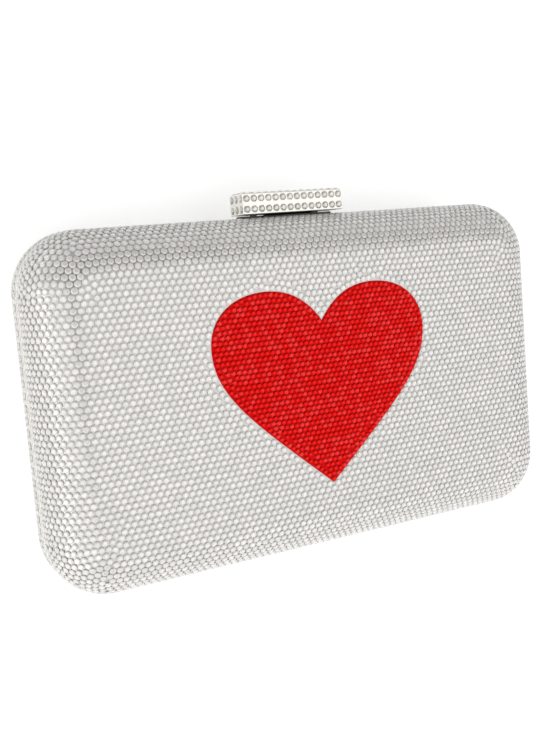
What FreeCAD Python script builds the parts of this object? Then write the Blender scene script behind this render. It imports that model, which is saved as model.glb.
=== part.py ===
import FreeCAD, Part
import math
import os

# Hard box clutch covered in crystals, lying on its back.
# X is the width, Y runs from the hinge edge to the clasp edge, Z from the back face to the front face.
# The origin is the middle of the back face. Lengths are in millimetres, angles in degrees.

# Body, measured over the crystals
BODY_WIDTH = 190.0
BODY_HEIGHT = 114.5
BODY_DEPTH = 38.0
CORNER_R = 19.5
EDGE_R = 15.5
EDGE_LIMIT_SHARE = 0.95
SEAM_GAP = 0.3
OPEN_ANGLE = 90.0

# Walls of each half, from the outside in
CRYSTAL_T = 1.6
SHELL_T = 1.4
LINING_T = 1.0
GLUE_GAP = 0.1

# Lining: a flat panel on the face and a band round the sides
PANEL_INSET = 17.0
PANEL_CORNER_R = 8.0
PANEL_GAP = 0.3

# Rows of crystals: the flat faces have a shallow groove between each row and the next
ROW_PITCH = 1.96
HEART_ROW_PITCH = 1.67
ROW_GROOVE_WIDTH = 0.8
ROW_GROOVE_DEPTH = 0.4

# Heart set into the front: each curve runs through four poles, as shares of half the width and of the height
HEART_WIDTH = 81.4
HEART_HEIGHT = 66.4
HEART_GAP = 0.15
HEART_CURVE_SHARES = (
    ((0.0, 0.831), (0.123, 0.941), (0.283, 1.0), (0.504, 1.0)),
    ((0.504, 1.0), (0.786, 1.0), (1.0, 0.904), (1.0, 0.745)),
    ((1.0, 0.745), (1.0, 0.520), (0.688, 0.369), (0.0, 0.0)),
)

# Metal frame round the mouth of each half
RIM_T = 1.3
RIM_RECESS = 0.3
SKIRT_T = 0.8
SKIRT_DEPTH = 3.0

# Long hinge in the lower edge
HINGE_LENGTH = 120.0
HINGE_INSET = 1.0
HINGE_PIN_R = 0.5
KNUCKLE_R = 1.2
KNUCKLE_COUNT = 11
KNUCKLE_GAP = 0.25
LEAF_T = 0.5
LEAF_REACH = 3.6
RELIEF_GAP = 0.3

# Clasp: a hollow jewelled bar that rocks on a pin above the upper edge
BAR_LENGTH = 38.0
BAR_DEPTH = 10.2
BAR_HEIGHT = 7.0
BAR_GAP = 1.0
BAR_SHIFT = 0.8
BAR_WALL = 0.9
BAR_EDGE_R = 0.3
PIVOT_RISE = 3.4
CLASP_PIN_R = 0.7
CLASP_PIN_STAND = 0.4
CHEEK_R = 1.4
CHEEK_T = 1.4
CHEEK_GAP = 0.6

# Bracket of the clasp on the back frame
EAR_SPACING = 24.0
EAR_R = 1.3
EAR_T = 1.4
FOOT_T = 0.7
FOOT_DEPTH = 2.6
FOOT_END_GAP = 0.3
TAB_LENGTH = 20.0
TAB_REACH = 4.0
TAB_T = 0.5

# Sprung catch on the front frame
CATCH_LENGTH = 18.0
CATCH_T = 0.45
CATCH_LIFT = 0.9
CATCH_CREST = 1.85
CATCH_LIP = 1.25
CATCH_LIP_WIDTH = 0.4
CATCH_CLEARANCE = 0.3

# Return spring wound on the clasp pin
SPRING_WIRE_R = 0.2
SPRING_COIL_R = 1.3
SPRING_PITCH = 0.95
SPRING_TURN_COUNT = 5

# Stones set in the bar
STONE_R = 1.2
STONE_SIDE_COUNT = 8
STONE_GIRDLE = 0.3
STONE_CROWN = 0.45
STONE_TABLE_SHARE = 0.55
STONE_POCKET = 0.35
STONE_ALONG_COUNT = 14
STONE_UP_COUNT = 2
STONE_ACROSS_COUNT = 3

# Eyes for a shoulder chain, inside the back half
EYE_R = 1.8
EYE_RIM = 1.4
EYE_T = 1.4
EYE_REACH = 4.0
EYE_PLACE = 26.0
EYE_DROP = 0.5

# Clearances shared by all fits
RUN_GAP = 0.05
SEAT_GAP = 0.05
CUT_OVERRUN = 4.0

# Worked out from the values above
V = FreeCAD.Vector
MID_Z = BODY_DEPTH / 2
TOP_Y = BODY_HEIGHT / 2
BODY_EDGE_R = min(EDGE_R, CORNER_R * EDGE_LIMIT_SHARE, MID_Z * EDGE_LIMIT_SHARE)
RIM_FACE = SEAM_GAP / 2
RIM_LOW_Z = MID_Z - RIM_FACE - RIM_T
WALL_TOP_Z = RIM_LOW_Z - GLUE_GAP
SHELL_INSET = CRYSTAL_T + GLUE_GAP
LINING_INSET = SHELL_INSET + SHELL_T + GLUE_GAP
SKIRT_INSET = LINING_INSET + LINING_T + GLUE_GAP
MOUTH_INSET = SKIRT_INSET + SKIRT_T
HINGE_Y = HINGE_INSET - TOP_Y
KNUCKLE_PITCH = HINGE_LENGTH / KNUCKLE_COUNT
PIVOT_Y = TOP_Y + PIVOT_RISE
BAR_TOP_INSIDE = BAR_GAP + BAR_HEIGHT - BAR_WALL
EAR_X = EAR_SPACING / 2
CHEEK_X = EAR_X + EAR_T / 2 + CHEEK_GAP + CHEEK_T / 2


def rounded_rectangle(half_x, half_y, radius, z):
    """Flat face with four round corners."""
    corners = ((1, 1), (-1, 1), (-1, -1), (1, -1))
    arcs = []
    for turn, (side_x, side_y) in enumerate(corners):
        centre = V(side_x * (half_x - radius), side_y * (half_y - radius), z)
        circle = Part.Circle(centre, V(0, 0, 1), radius)
        arcs.append(Part.ArcOfCircle(circle, turn * math.pi / 2, (turn + 1) * math.pi / 2))
    edges = []
    for arc, following in zip(arcs, arcs[1:] + arcs[:1]):
        edges.append(arc.toShape())
        edges.append(Part.LineSegment(arc.EndPoint, following.StartPoint).toShape())
    return Part.Face(Part.Wire(edges))


def outline(inset, z):
    """The body's outline, drawn in by inset."""
    return rounded_rectangle(BODY_WIDTH / 2 - inset, BODY_HEIGHT / 2 - inset, CORNER_R - inset, z)


def half_block(inset):
    """Solid form of the back half with its rounded face edge, drawn in by inset."""
    block = outline(inset, inset).extrude(V(0, 0, MID_Z - inset))
    face_edges = [edge for edge in block.Edges if edge.BoundBox.ZMax < MID_Z / 2]
    return block.makeFillet(BODY_EDGE_R - inset, face_edges)


def slab(low, high):
    """Box over the whole body between two heights."""
    width = BODY_WIDTH + 2 * CUT_OVERRUN
    height = BODY_HEIGHT + 2 * CUT_OVERRUN
    return Part.makeBox(width, height, high - low, V(-width / 2, -height / 2, low))


def layer(inset, thickness):
    """Pan-shaped wall of the back half, open at the seam."""
    return half_block(inset).cut(half_block(inset + thickness))


def to_front(shape):
    """The same piece on the front half."""
    return shape.mirror(V(0, 0, MID_Z), V(0, 0, 1))


def bar_along_x(radius, low, high, y, z):
    """Round bar along X."""
    return Part.makeCylinder(radius, high - low, V(low, y, z), V(1, 0, 0))


def block_at_seam(half_length, rise, depth):
    """Box at the clasp edge: rise counts from the upper edge, depth from the seam towards the front."""
    size = (2 * half_length, rise[1] - rise[0], depth[1] - depth[0])
    return Part.makeBox(*size, V(-half_length, TOP_Y + rise[0], MID_Z + depth[0]))


def hinge_relief():
    """Room for the barrel, and the chamfers on which the two rims meet when the clutch is open."""
    half = HINGE_LENGTH / 2 + KNUCKLE_GAP
    groove = bar_along_x(KNUCKLE_R + KNUCKLE_GAP, -half, half, HINGE_Y, MID_Z)
    apex_y = HINGE_Y + RELIEF_GAP
    outer_y = -TOP_Y - CUT_OVERRUN
    spread = (apex_y - outer_y) * math.tan(math.radians(OPEN_ANGLE / 2))
    left = -BODY_WIDTH / 2
    apex = V(left, apex_y, MID_Z)
    corners = (apex, V(left, outer_y, MID_Z + spread), V(left, outer_y, MID_Z - spread), apex)
    wedge = Part.Face(Part.makePolygon(corners)).extrude(V(BODY_WIDTH, 0, 0))
    return groove.fuse(wedge)


def wall(inset, thickness):
    """One wall of the back half, ending under the metal rim."""
    pan = layer(inset, thickness).common(slab(-CUT_OVERRUN, WALL_TOP_Z))
    return pan.cut(hinge_relief())


def lining_panel_prism(grow):
    half_x = BODY_WIDTH / 2 - PANEL_INSET + grow
    half_y = BODY_HEIGHT / 2 - PANEL_INSET + grow
    return rounded_rectangle(half_x, half_y, PANEL_CORNER_R + grow, 0).extrude(V(0, 0, MID_Z))


def heart_plate(gap):
    """Heart as thick as the crystal layer, its outline drawn in by about the gap."""
    half_width = HEART_WIDTH / 2 - gap
    height = HEART_HEIGHT - 2 * gap
    low_z = BODY_DEPTH - CRYSTAL_T
    edges = []
    for side in (1, -1):
        for poles in HEART_CURVE_SHARES:
            curve = Part.BezierCurve()
            curve.setPoles([V(side * x * half_width, (y - 0.5) * height, low_z) for x, y in poles])
            edges.append(curve.toShape())
    wire = Part.Wire(Part.__sortEdges__(edges))
    return Part.Face(wire).extrude(V(0, 0, CRYSTAL_T))


def row_grooves(pitch, reach):
    """V-shaped grooves along X in the back face, one between each row of crystals and the next."""
    wide, deep, left = ROW_GROOVE_WIDTH, ROW_GROOVE_DEPTH, -BODY_WIDTH / 2
    section = ((0, deep), (-wide, -deep), (wide, -deep), (0, deep))
    groove = Part.Face(Part.makePolygon([V(left, y, z) for y, z in section])).extrude(V(BODY_WIDTH, 0, 0))
    count = 2 * int(reach / pitch)
    return [groove.translated(V(0, y, 0)) for y in spread(count, count * pitch)]


def frame_ring():
    """Rim over the ends of the walls, with a skirt inside the mouth."""
    rim = outline(RIM_RECESS, RIM_LOW_Z).extrude(V(0, 0, RIM_T))
    rim = rim.cut(outline(MOUTH_INSET, RIM_LOW_Z).extrude(V(0, 0, RIM_T)))
    skirt = layer(SKIRT_INSET, SKIRT_T).common(slab(RIM_LOW_Z - SKIRT_DEPTH, RIM_LOW_Z))
    half = HINGE_LENGTH / 2 + SEAT_GAP
    leaf_reach = LEAF_REACH + SEAT_GAP
    leaf_seat = Part.makeBox(2 * half, leaf_reach, RIM_T, V(-half, HINGE_Y, MID_Z - RIM_FACE - LEAF_T))
    return rim.fuse(skirt).removeSplitter().cut(hinge_relief()).cut(leaf_seat)


def tab_seat(length, thickness):
    """Pocket in the upper rim of the back frame for a bracket's tab."""
    rise = (-TAB_REACH - SEAT_GAP, CUT_OVERRUN)
    return block_at_seam(length / 2 + SEAT_GAP, rise, (-RIM_FACE - thickness, 0))


def hinge_leaf(first):
    """Hinge leaf of the back half that carries every second knuckle, from the given one on."""
    low_z = MID_Z - RIM_FACE - LEAF_T
    left = -HINGE_LENGTH / 2
    leaf = Part.makeBox(HINGE_LENGTH, LEAF_REACH, LEAF_T, V(left, HINGE_Y, low_z))
    half_gap = KNUCKLE_GAP / 2
    for place in range(KNUCKLE_COUNT):
        start = left + place * KNUCKLE_PITCH
        end = start + KNUCKLE_PITCH
        if place % 2 == first:
            leaf = leaf.fuse(bar_along_x(KNUCKLE_R, start + half_gap, end - half_gap, HINGE_Y, MID_Z))
        else:
            room = KNUCKLE_R + KNUCKLE_GAP
            leaf = leaf.cut(bar_along_x(room, start - half_gap, end + half_gap, HINGE_Y, MID_Z))
    end_cut = HINGE_LENGTH / 2 + CUT_OVERRUN
    return leaf.cut(bar_along_x(HINGE_PIN_R + RUN_GAP, -end_cut, end_cut, HINGE_Y, MID_Z)).removeSplitter()


def clasp_base():
    """Bracket: a tab in the back rim, a foot on the upper edge and two ears for the pin."""
    base = block_at_seam(TAB_LENGTH / 2, (-TAB_REACH, FOOT_T), (-RIM_FACE - TAB_T, -RIM_FACE))
    foot_half = BAR_LENGTH / 2 - BAR_WALL - FOOT_END_GAP
    base = base.fuse(block_at_seam(foot_half, (0, FOOT_T), (-FOOT_DEPTH, -RIM_FACE)))
    for side in (1, -1):
        low_x = side * EAR_X - EAR_T / 2
        back_z = MID_Z - FOOT_DEPTH
        post = Part.makeBox(EAR_T, PIVOT_RISE, FOOT_DEPTH - RIM_FACE, V(low_x, TOP_Y, back_z))
        eye = bar_along_x(EAR_R, low_x, low_x + EAR_T, PIVOT_Y, MID_Z)
        base = base.fuse(post).fuse(eye)
    bore = bar_along_x(CLASP_PIN_R + RUN_GAP, -BAR_LENGTH, BAR_LENGTH, PIVOT_Y, MID_Z)
    return base.cut(bore).removeSplitter()


def catch_spring():
    """Bent strip: a tab in the front rim and a springy crest inside the bar's front wall."""
    lip = BAR_SHIFT + BAR_DEPTH / 2 - BAR_WALL - CATCH_CLEARANCE
    crest = lip - CATCH_LIP_WIDTH
    inner = RIM_FACE + CATCH_T
    profile = (
        (RIM_FACE, -TAB_REACH),
        (RIM_FACE, CATCH_LIFT),
        (crest, CATCH_CREST),
        (lip, CATCH_LIP),
        (lip - CATCH_T, CATCH_LIP),
        (crest - CATCH_T / 2, CATCH_CREST - CATCH_T),
        (inner, CATCH_LIFT - CATCH_T),
        (inner, -TAB_REACH),
    )
    left = -CATCH_LENGTH / 2
    points = [V(left, TOP_Y + rise, MID_Z + depth) for depth, rise in profile]
    return Part.Face(Part.makePolygon(points + points[:1])).extrude(V(CATCH_LENGTH, 0, 0))


def stone_rings(rings):
    """Closed solid through rings of (radius, height), each with the stone's number of sides."""
    levels = []
    for radius, height in rings:
        turns = [(side + 0.5) * 2 * math.pi / STONE_SIDE_COUNT for side in range(STONE_SIDE_COUNT)]
        levels.append([V(radius * math.cos(turn), radius * math.sin(turn), height) for turn in turns])
    loops = [levels[0], levels[-1]]
    for lower, upper in zip(levels, levels[1:]):
        for side in range(STONE_SIDE_COUNT):
            after = (side + 1) % STONE_SIDE_COUNT
            loops.append([lower[side], lower[after], upper[after], upper[side]])
    faces = [Part.Face(Part.makePolygon(loop + loop[:1])) for loop in loops]
    return Part.Solid(Part.Shell(faces))


def spread(count, length):
    """Centres of a row that shares out a length evenly."""
    return [(place + 0.5) * length / count - length / 2 for place in range(count)]


def stone_places():
    """Placement of each stone on the five shown faces of the bar, standing out of its face."""
    middle = V(0, TOP_Y + BAR_GAP + BAR_HEIGHT / 2, MID_Z + BAR_SHIFT)
    along = spread(STONE_ALONG_COUNT, BAR_LENGTH)
    up = spread(STONE_UP_COUNT, BAR_HEIGHT)
    across = spread(STONE_ACROSS_COUNT, BAR_DEPTH)
    spots = []
    for side in (1, -1):
        spots += [(V(x, y, side * BAR_DEPTH / 2), V(0, 0, side)) for x in along for y in up]
        spots += [(V(side * BAR_LENGTH / 2, y, z), V(side, 0, 0)) for y in up for z in across]
    spots += [(V(x, BAR_HEIGHT / 2, z), V(0, 1, 0)) for x in along for z in across]
    return [FreeCAD.Placement(middle + spot, FreeCAD.Rotation(V(0, 0, 1), way)) for spot, way in spots]


def placed(shape, placement):
    copy = shape.copy()
    copy.Placement = placement
    return copy


def clasp_crystals(places):
    height = STONE_GIRDLE - STONE_POCKET
    table = STONE_R * STONE_TABLE_SHARE
    stone = stone_rings(((STONE_R, -STONE_POCKET), (STONE_R, height), (table, height + STONE_CROWN)))
    return Part.makeCompound([placed(stone, place) for place in places])


def clasp_bar(places):
    """Hollow bar, open underneath, with two cheeks for the pin and a pocket for each stone."""
    half = BAR_LENGTH / 2
    depth = (BAR_SHIFT - BAR_DEPTH / 2, BAR_SHIFT + BAR_DEPTH / 2)
    bar = block_at_seam(half, (BAR_GAP, BAR_GAP + BAR_HEIGHT), depth)
    bar = bar.makeFillet(BAR_EDGE_R, bar.Edges)
    inside = (depth[0] + BAR_WALL, depth[1] - BAR_WALL)
    bar = bar.cut(block_at_seam(half - BAR_WALL, (0, BAR_TOP_INSIDE), inside))
    for side in (1, -1):
        low_x = side * CHEEK_X - CHEEK_T / 2
        rise = BAR_TOP_INSIDE - PIVOT_RISE
        arm = Part.makeBox(CHEEK_T, rise, 2 * CHEEK_R, V(low_x, PIVOT_Y, MID_Z - CHEEK_R))
        bar = bar.fuse(arm).fuse(bar_along_x(CHEEK_R, low_x, low_x + CHEEK_T, PIVOT_Y, MID_Z))
    pin_end = CHEEK_X + CHEEK_T
    bar = bar.cut(bar_along_x(CLASP_PIN_R + RUN_GAP, -pin_end, pin_end, PIVOT_Y, MID_Z)).removeSplitter()
    room = STONE_R + SEAT_GAP
    pocket = stone_rings(((room, -STONE_POCKET), (room, STONE_CROWN)))
    return bar.cut([placed(pocket, place) for place in places])


def clasp_pin():
    half = CHEEK_X + CHEEK_T / 2 + CLASP_PIN_STAND
    return bar_along_x(CLASP_PIN_R, -half, half, PIVOT_Y, MID_Z)


def arc_from(start, heading, end):
    """Arc that leaves start along heading and reaches end."""
    chord = end - start
    across = chord - heading * chord.dot(heading)
    radius = chord.dot(chord) / (2 * across.Length)
    centre = start + across.normalize() * radius
    middle = (start - centre) + (end - centre)
    return Part.Arc(start, centre + middle.normalize() * radius, end)


def biarc(start, heading, end, ending):
    """Two arcs that join smoothly and keep both end directions."""
    chord = end - start
    both = heading + ending
    bend = 2 * (1 - heading.dot(ending))
    reach = (math.sqrt(chord.dot(both) ** 2 + bend * chord.dot(chord)) - chord.dot(both)) / bend
    joint = (start + end + (heading - ending) * reach) * 0.5
    first = arc_from(start, heading, joint)
    second = arc_from(end, ending * -1, joint)
    return [first, Part.Arc(joint, second.value((second.FirstParameter + second.LastParameter) / 2), end)]


def return_spring():
    """Torsion spring on the pin: one leg stands on the bracket's foot, the other under the bar's top."""
    halves = 2 * SPRING_TURN_COUNT
    low_x = -SPRING_TURN_COUNT * SPRING_PITCH / 2
    rise = SPRING_PITCH / (2 * math.pi)
    points = []
    headings = []
    for half in range(halves + 1):
        side = -1 if half % 2 == 0 else 1
        points.append(V(low_x + half * SPRING_PITCH / 2, PIVOT_Y, MID_Z + side * SPRING_COIL_R))
        slope = 0 if half in (0, halves) else rise
        headings.append(V(slope, -side * SPRING_COIL_R, 0).normalize())
    arcs = []
    for half in range(halves):
        arcs += biarc(points[half], headings[half], points[half + 1], headings[half + 1])
    foot_end = V(points[0].x, TOP_Y + FOOT_T + SEAT_GAP, points[0].z)
    top_end = V(points[-1].x, TOP_Y + BAR_TOP_INSIDE - SEAT_GAP, points[-1].z)
    lines = [Part.LineSegment(foot_end, points[0]), Part.LineSegment(points[-1], top_end)]
    path = Part.Wire([piece.toShape() for piece in lines[:1] + arcs + lines[1:]])
    section = Part.Wire(Part.Circle(foot_end, V(0, 1, 0), SPRING_WIRE_R).toShape())
    pipe = Part.BRepOffsetAPI.MakePipeShell(path)
    pipe.add(section)
    pipe.build()
    pipe.makeSolid()
    print("return spring: least gap between turns", round(least_turn_gap(arcs), 3))
    return pipe.shape()


def least_turn_gap(arcs):
    """Least clear distance from one turn of the spring to the next, measured on points along the wire."""
    samples = []
    for arc in arcs:
        samples += arc.discretize(9)[:-1]
    turn = len(samples) // SPRING_TURN_COUNT
    reach = turn // 2
    pairs = [(a, b) for a in range(len(samples)) for b in range(a + reach, len(samples))]
    return min(samples[a].distanceToPoint(samples[b]) for a, b in pairs) - 2 * SPRING_WIRE_R


def chain_eye(side):
    """Flat eye on the inner side of the back frame, seated on the skirt."""
    radius = EYE_R + EYE_RIM
    low_z = RIM_LOW_Z - EYE_DROP - EYE_T
    wall_x = BODY_WIDTH / 2 - MOUTH_INSET
    centre = V(side * (wall_x - EYE_REACH), EYE_PLACE, low_z)
    length = EYE_REACH + SKIRT_T
    low_x = min(centre.x, centre.x + side * length)
    tongue = Part.makeBox(length, 2 * radius, EYE_T, V(low_x, EYE_PLACE - radius, low_z))
    eye = tongue.fuse(Part.makeCylinder(radius, EYE_T, centre)).cut(Part.makeCylinder(EYE_R, EYE_T, centre))
    return eye.common(half_block(MOUTH_INSET)).removeSplitter()


def build_nodes():
    cover = wall(0, CRYSTAL_T).cut(row_grooves(ROW_PITCH, TOP_Y - CORNER_R))
    shell = wall(SHELL_INSET, SHELL_T)
    lining = wall(LINING_INSET, LINING_T)
    panel = lining.common(lining_panel_prism(0))
    band = lining.cut(lining_panel_prism(PANEL_GAP))
    ring = frame_ring()
    heart_grooves = [to_front(groove) for groove in row_grooves(HEART_ROW_PITCH, HEART_HEIGHT / 2)]
    places = stone_places()
    nodes = {
        "back_crystal_cover": cover,
        "back_shell": shell,
        "back_lining_panel": panel,
        "back_lining_band": band,
        "back_frame": ring.cut(tab_seat(TAB_LENGTH, TAB_T)),
        "back_hinge_leaf": hinge_leaf(0),
        "hinge_pin": bar_along_x(HINGE_PIN_R, -HINGE_LENGTH / 2, HINGE_LENGTH / 2, HINGE_Y, MID_Z),
        "chain_eye_left": chain_eye(-1),
        "chain_eye_right": chain_eye(1),
        "clasp_base": clasp_base(),
        "clasp_return_spring": return_spring(),
        "front_crystal_cover": to_front(cover).cut(heart_plate(0)),
        "heart_crystal_inlay": heart_plate(HEART_GAP).cut(heart_grooves),
        "front_shell": to_front(shell),
        "front_lining_panel": to_front(panel),
        "front_lining_band": to_front(band),
        "front_frame": to_front(ring.cut(tab_seat(CATCH_LENGTH, CATCH_T))),
        "front_hinge_leaf": to_front(hinge_leaf(1)),
        "catch_spring": catch_spring(),
        "clasp_bar": clasp_bar(places),
        "clasp_crystals": clasp_crystals(places),
        "clasp_pin": clasp_pin(),
    }
    return nodes


os.makedirs("parts", exist_ok=True)
for name, shape in build_nodes().items():
    shape.exportStep("parts/" + name + ".step")
    print(name, len(shape.Solids), "solids, valid", shape.isValid(), "volume", round(shape.Volume, 1))
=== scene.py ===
import itertools
import math

import bmesh
import bpy
import numpy as np
from mathutils import Matrix, Vector, noise
from mathutils.bvhtree import BVHTree
from mathutils.kdtree import KDTree


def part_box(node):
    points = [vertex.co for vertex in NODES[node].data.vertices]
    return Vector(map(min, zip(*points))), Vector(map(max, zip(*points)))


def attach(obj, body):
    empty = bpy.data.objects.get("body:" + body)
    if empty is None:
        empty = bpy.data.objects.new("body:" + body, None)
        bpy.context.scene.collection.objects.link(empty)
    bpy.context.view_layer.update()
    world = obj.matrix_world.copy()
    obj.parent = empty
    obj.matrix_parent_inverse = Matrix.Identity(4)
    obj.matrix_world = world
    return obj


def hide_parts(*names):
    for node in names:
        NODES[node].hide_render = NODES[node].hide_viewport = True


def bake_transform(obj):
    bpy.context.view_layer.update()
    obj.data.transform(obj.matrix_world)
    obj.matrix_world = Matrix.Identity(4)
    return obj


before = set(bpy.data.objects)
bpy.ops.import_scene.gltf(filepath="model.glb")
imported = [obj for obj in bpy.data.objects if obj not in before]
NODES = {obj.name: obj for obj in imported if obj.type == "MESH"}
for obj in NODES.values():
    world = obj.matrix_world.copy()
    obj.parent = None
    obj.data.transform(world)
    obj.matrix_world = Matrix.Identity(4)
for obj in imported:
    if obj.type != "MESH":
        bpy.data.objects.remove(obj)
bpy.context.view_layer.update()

# A crystal-set box clutch, lying on its back.
# X is its width, Y runs from the hinge to the clasp, and Z from the back to the front.
MM = 0.001
TINY = 1e-6
HAIR = 1e-9
WELD = MM / 1000
SEED = 7

# Body, over the stones: the box comes from the frame, the two radii are those of the solids
COVER_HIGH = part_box("back_crystal_cover")[1]
HALF_WIDTH = COVER_HIGH.x
HALF_HEIGHT = COVER_HIGH.y
WALL_TOP = COVER_HIGH.z
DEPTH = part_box("front_crystal_cover")[1].z
MID_Z = DEPTH / 2
CORNER_R = 19.5 * MM
EDGE_R = 15.5 * MM
COVER_T = 1.6 * MM
CORNER_X = HALF_WIDTH - CORNER_R
CORNER_Y = HALF_HEIGHT - CORNER_R
FLAT_R = CORNER_R - EDGE_R

# Clear stones and the bed they are set in; their rows share out the skin evenly
BED_INSET = 0.55 * MM
BED_RING_COUNT = 12
CLEAR_R = 1.09 * MM
CLEAR_ROW_COUNT = 34
CLEAR_COLUMN_COUNT = 44.5
ROW_SLACK_SHARE = 0.01
STONE_CLEARANCE = 0.06 * MM
STONE_TILT = 0.03
FACE_NORMAL_SHARE = 0.999

# How stones find their seats: spaces are filled and crowded stones pushed apart, in turns
FILL_ROUNDS = 3
CORNER_FILL_DIVISOR = 3
EDGE_FILL_SHARES = np.arange(1, 4, 0.25)
CROWDING_SHARE = 0.76
SETTLE_ROUNDS = 24
PUSH_SHARE = 0.3
PULL_SHARE = 0.15
PULL_REACH_SHARE = 0.6
NEAR_CELLS = list(itertools.product((-1, 0, 1), repeat=3))

# One cut stone: shares of its radius and height, and turn in sides, of each ring from foot to table
STONE_SIDES = 8
STONE_RING_SHARES = ((0.97, 0.0, 0.0), (1.0, 0.42, 0.0), (0.82, 0.75, 0.5), (0.55, 1.0, 0.0))
# Least and most painted light of its crown facets, which stand in for reflections, and of its table, a
# painted highlight
CROWN_PAINTED_LIGHT = (0.0, 0.6)
TABLE_PAINTED_HIGHLIGHT = (0.8, 1.0)

# Red stones of the heart and the plate they are set in
HEART_PLATE_T = 0.12 * MM
HEART_PLATE_RINGS = ((0.0, 0.0), (0.0, 0.6), (0.06 * MM, 1.0))
RED_R = 0.91 * MM
RED_PITCH = 1.93 * MM
RED_ROW = 1.67 * MM
HEART_EDGE_GAP = 0.1 * MM
HEART_STEPS = 40
HEART_CURVE_SHARES = (
    ((0.0, 0.831), (0.123, 0.941), (0.283, 1.0), (0.504, 1.0)),
    ((0.504, 1.0), (0.786, 1.0), (1.0, 0.904), (1.0, 0.745)),
    ((1.0, 0.745), (1.0, 0.520), (0.688, 0.369), (0.0, 0.0)),
)

# Clasp stones, in the pockets of the bar
CLASP_ALONG, CLASP_UP, CLASP_ACROSS = 14, 2, 3
CLASP_STONE_R = 1.13 * MM
CLASP_STONE_HEIGHT = 0.62 * MM
CLASP_SUNK = 0.25 * MM

# Lining: padded panel, sewn near its edge, and a gathered side band
PAD_CORNER_R = 8.0 * MM
PAD_GAP = 0.3 * MM
PAD_ROLL = 1.6 * MM
PAD_EDGE_SHARE = 0.3
PAD_CROWN = 0.9 * MM
PAD_CROWN_REACH = 9.0 * MM
PAD_GROOVE = 0.8 * MM
PAD_GROOVE_WIDTH = 1.3 * MM
PAD_CAP = 3.0 * MM
PAD_HELD_SHARE = 0.4
PAD_INSETS_MM = (0.0, 0.12, 0.35, 0.7, 1.2, 1.8, 2.4, 2.9, 3.4, 3.9, 4.4, 5.2, 6.2, 7.4)
PAD_MIDDLE_SHARES = (0.9, 0.8, 0.7, 0.6, 0.5, 0.4, 0.3, 0.2, 0.1, 0.03)
PAD_SIDE_STEPS = 36
LINING_CORNER_STEPS, LINING_SIDE_STEPS = 8, 60
SIDE_RING_COUNT = 18
SIDE_GATHER = 0.9 * MM
GATHER_SCALE = 190
GATHER_RISE = 2.5
GATHER_FADE_SHARE = 0.72
GATHER_SHIFTS = {"back": 0.0, "front": 5.0}
STITCH_INSET = 3.4 * MM
STITCH_PITCH = 2.6 * MM
STITCH_LENGTH = 2.1 * MM
STITCH_T = 0.5 * MM
STITCH_LIFT_SHARE = 0.2
SEWN_REACH = STITCH_INSET + PAD_GROOVE_WIDTH / 3
# The pads are blown up as slack cloth at ten times their size, because cloth is steadier near a metre
CLOTH_SCALE = 10.0
CLOTH_VOXEL = 13.0 * MM
CLOTH_FRAMES = 24
CLOTH_PRESSURE = 1.6
CLOTH_SLACK = 0.06

# Studio: the floor is lifted to white where it is seen or mirrored
FLOOR_REACH = 2.5
FLOOR_LEVEL = -0.3 * MM
FLOOR_LIFT = 0.58
FLOOR_NEAR, FLOOR_FAR = 0.4, 1.4
FLOOR_TONE = 0.78
WORLD_LIGHT = 0.27
BACKDROP_LOW, BACKDROP_HIGH = 0.3, 0.5
# Dark card over the clutch: its direction, its tone and the angles of its rim and core
DARK_CARD = (-0.455, 0.117, 0.883)
DARK_CARD_TONE = 0.15
DARK_CARD_RIM, DARK_CARD_CORE = math.radians(32), math.radians(20)
# Softboxes: place, width and power
SOFTBOXES = {
    "overhead_softbox": ((0.75, -0.55, 1.4), 2.3, 16.8),
    "left_softbox": ((-1.3, -0.5, 1.1), 2.4, 22.0),
}

# Camera, fitted to the outline, the bar and the heart in the photograph
PHOTO_HEIGHT = 733
FOCAL_PX = 970.0
SENSOR = 36.0
CAMERA_YAW = math.radians(27.28)
CAMERA_PITCH = math.radians(6.72)
CAMERA_ROLL = math.radians(-4.73)
CAMERA_DISTANCE = 339.5 * MM
CAMERA_OFFSET = (-8.17 * MM, 5.71 * MM)


def plain_object(name, data):
    piece = bpy.data.objects.new(name, data)
    bpy.context.scene.collection.objects.link(piece)
    return piece


def mend(mesh, weld=True, turn_out=True):
    """Merges doubled points and turns the faces outwards."""
    work = bmesh.new()
    work.from_mesh(mesh)
    if weld:
        bmesh.ops.remove_doubles(work, verts=work.verts, dist=WELD)
    if turn_out:
        bmesh.ops.recalc_face_normals(work, faces=work.faces)
    work.to_mesh(mesh)
    work.free()


def mesh_piece(name, points, faces, material, smooth=True):
    """A closed mesh with its faces turned outwards."""
    mesh = bpy.data.meshes.new(name)
    mesh.from_pydata(points, [], faces)
    mend(mesh)
    if smooth:
        mesh.shade_smooth()
    mesh.materials.append(material)
    return plain_object(name, mesh)


# Nodes


def feed(tree, node, inputs):
    """Sets a node's inputs: another node's output is linked, and anything else is a plain value."""
    for key, value in inputs.items():
        if isinstance(value, bpy.types.NodeSocket):
            tree.links.new(value, node.inputs[key])
        else:
            node.inputs[key].default_value = value


def add_node(tree, kind, inputs=None, **settings):
    node = tree.nodes.new(kind)
    for key, value in settings.items():
        setattr(node, key, value)
    feed(tree, node, inputs or {})
    return node


def new_group(kind, name, inputs, outputs):
    """Node group with named sockets; returns it, what it is given and the node for its result."""
    group = bpy.data.node_groups.new(name, kind)
    for way, sockets in (("INPUT", inputs), ("OUTPUT", outputs)):
        for socket, socket_kind in sockets.items():
            group.interface.new_socket(socket, in_out=way, socket_type="NodeSocket" + socket_kind)
    given = group.nodes.new("NodeGroupInput")
    return group, given.outputs, group.nodes.new("NodeGroupOutput")


def worked(tree, operation, *values):
    return add_node(tree, "ShaderNodeMath", dict(enumerate(values)), operation=operation).outputs[0]


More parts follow.
